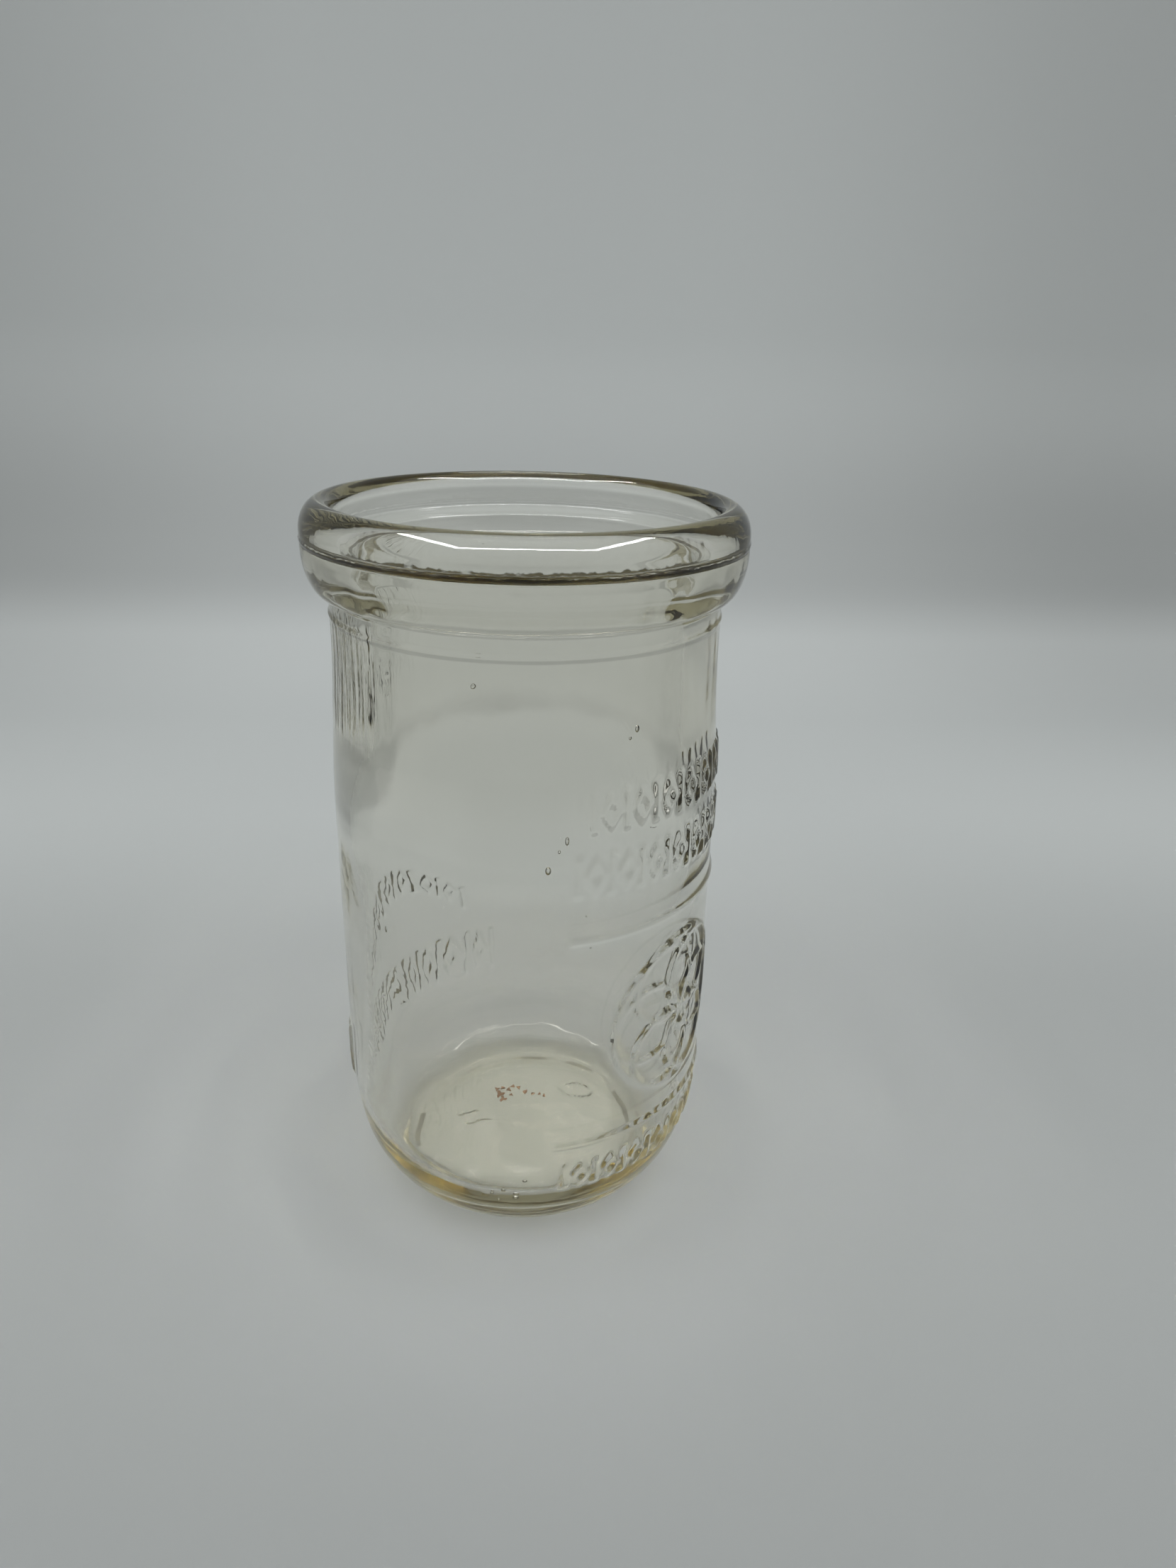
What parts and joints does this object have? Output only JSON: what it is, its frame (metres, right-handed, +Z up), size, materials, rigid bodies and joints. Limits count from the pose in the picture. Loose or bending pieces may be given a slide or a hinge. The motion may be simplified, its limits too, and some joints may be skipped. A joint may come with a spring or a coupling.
{
  "type": "glass jar",
  "caption": "Wide-mouthed cylindrical glass jar with a heavy rounded collar, a lid ledge inside the mouth, a rounded heel and raised marks on its wall.",
  "frame": {"origin": "centre of the foot ring, on the surface that the jar stands on", "axes": "+Z up along the jar's axis; the crest panel faces 38 degrees from +X towards -Y, and the panel with the arched row 148 degrees from +X towards +Y"},
  "size_m": [0.0674, 0.0674, 0.1192],
  "materials": {
    "clear_glass": "clear, faintly straw-tinted pressed glass with a fire-polished skin"
  },
  "bodies": {
    "root": {"jar": "clear_glass"}
  },
  "joints": []
}
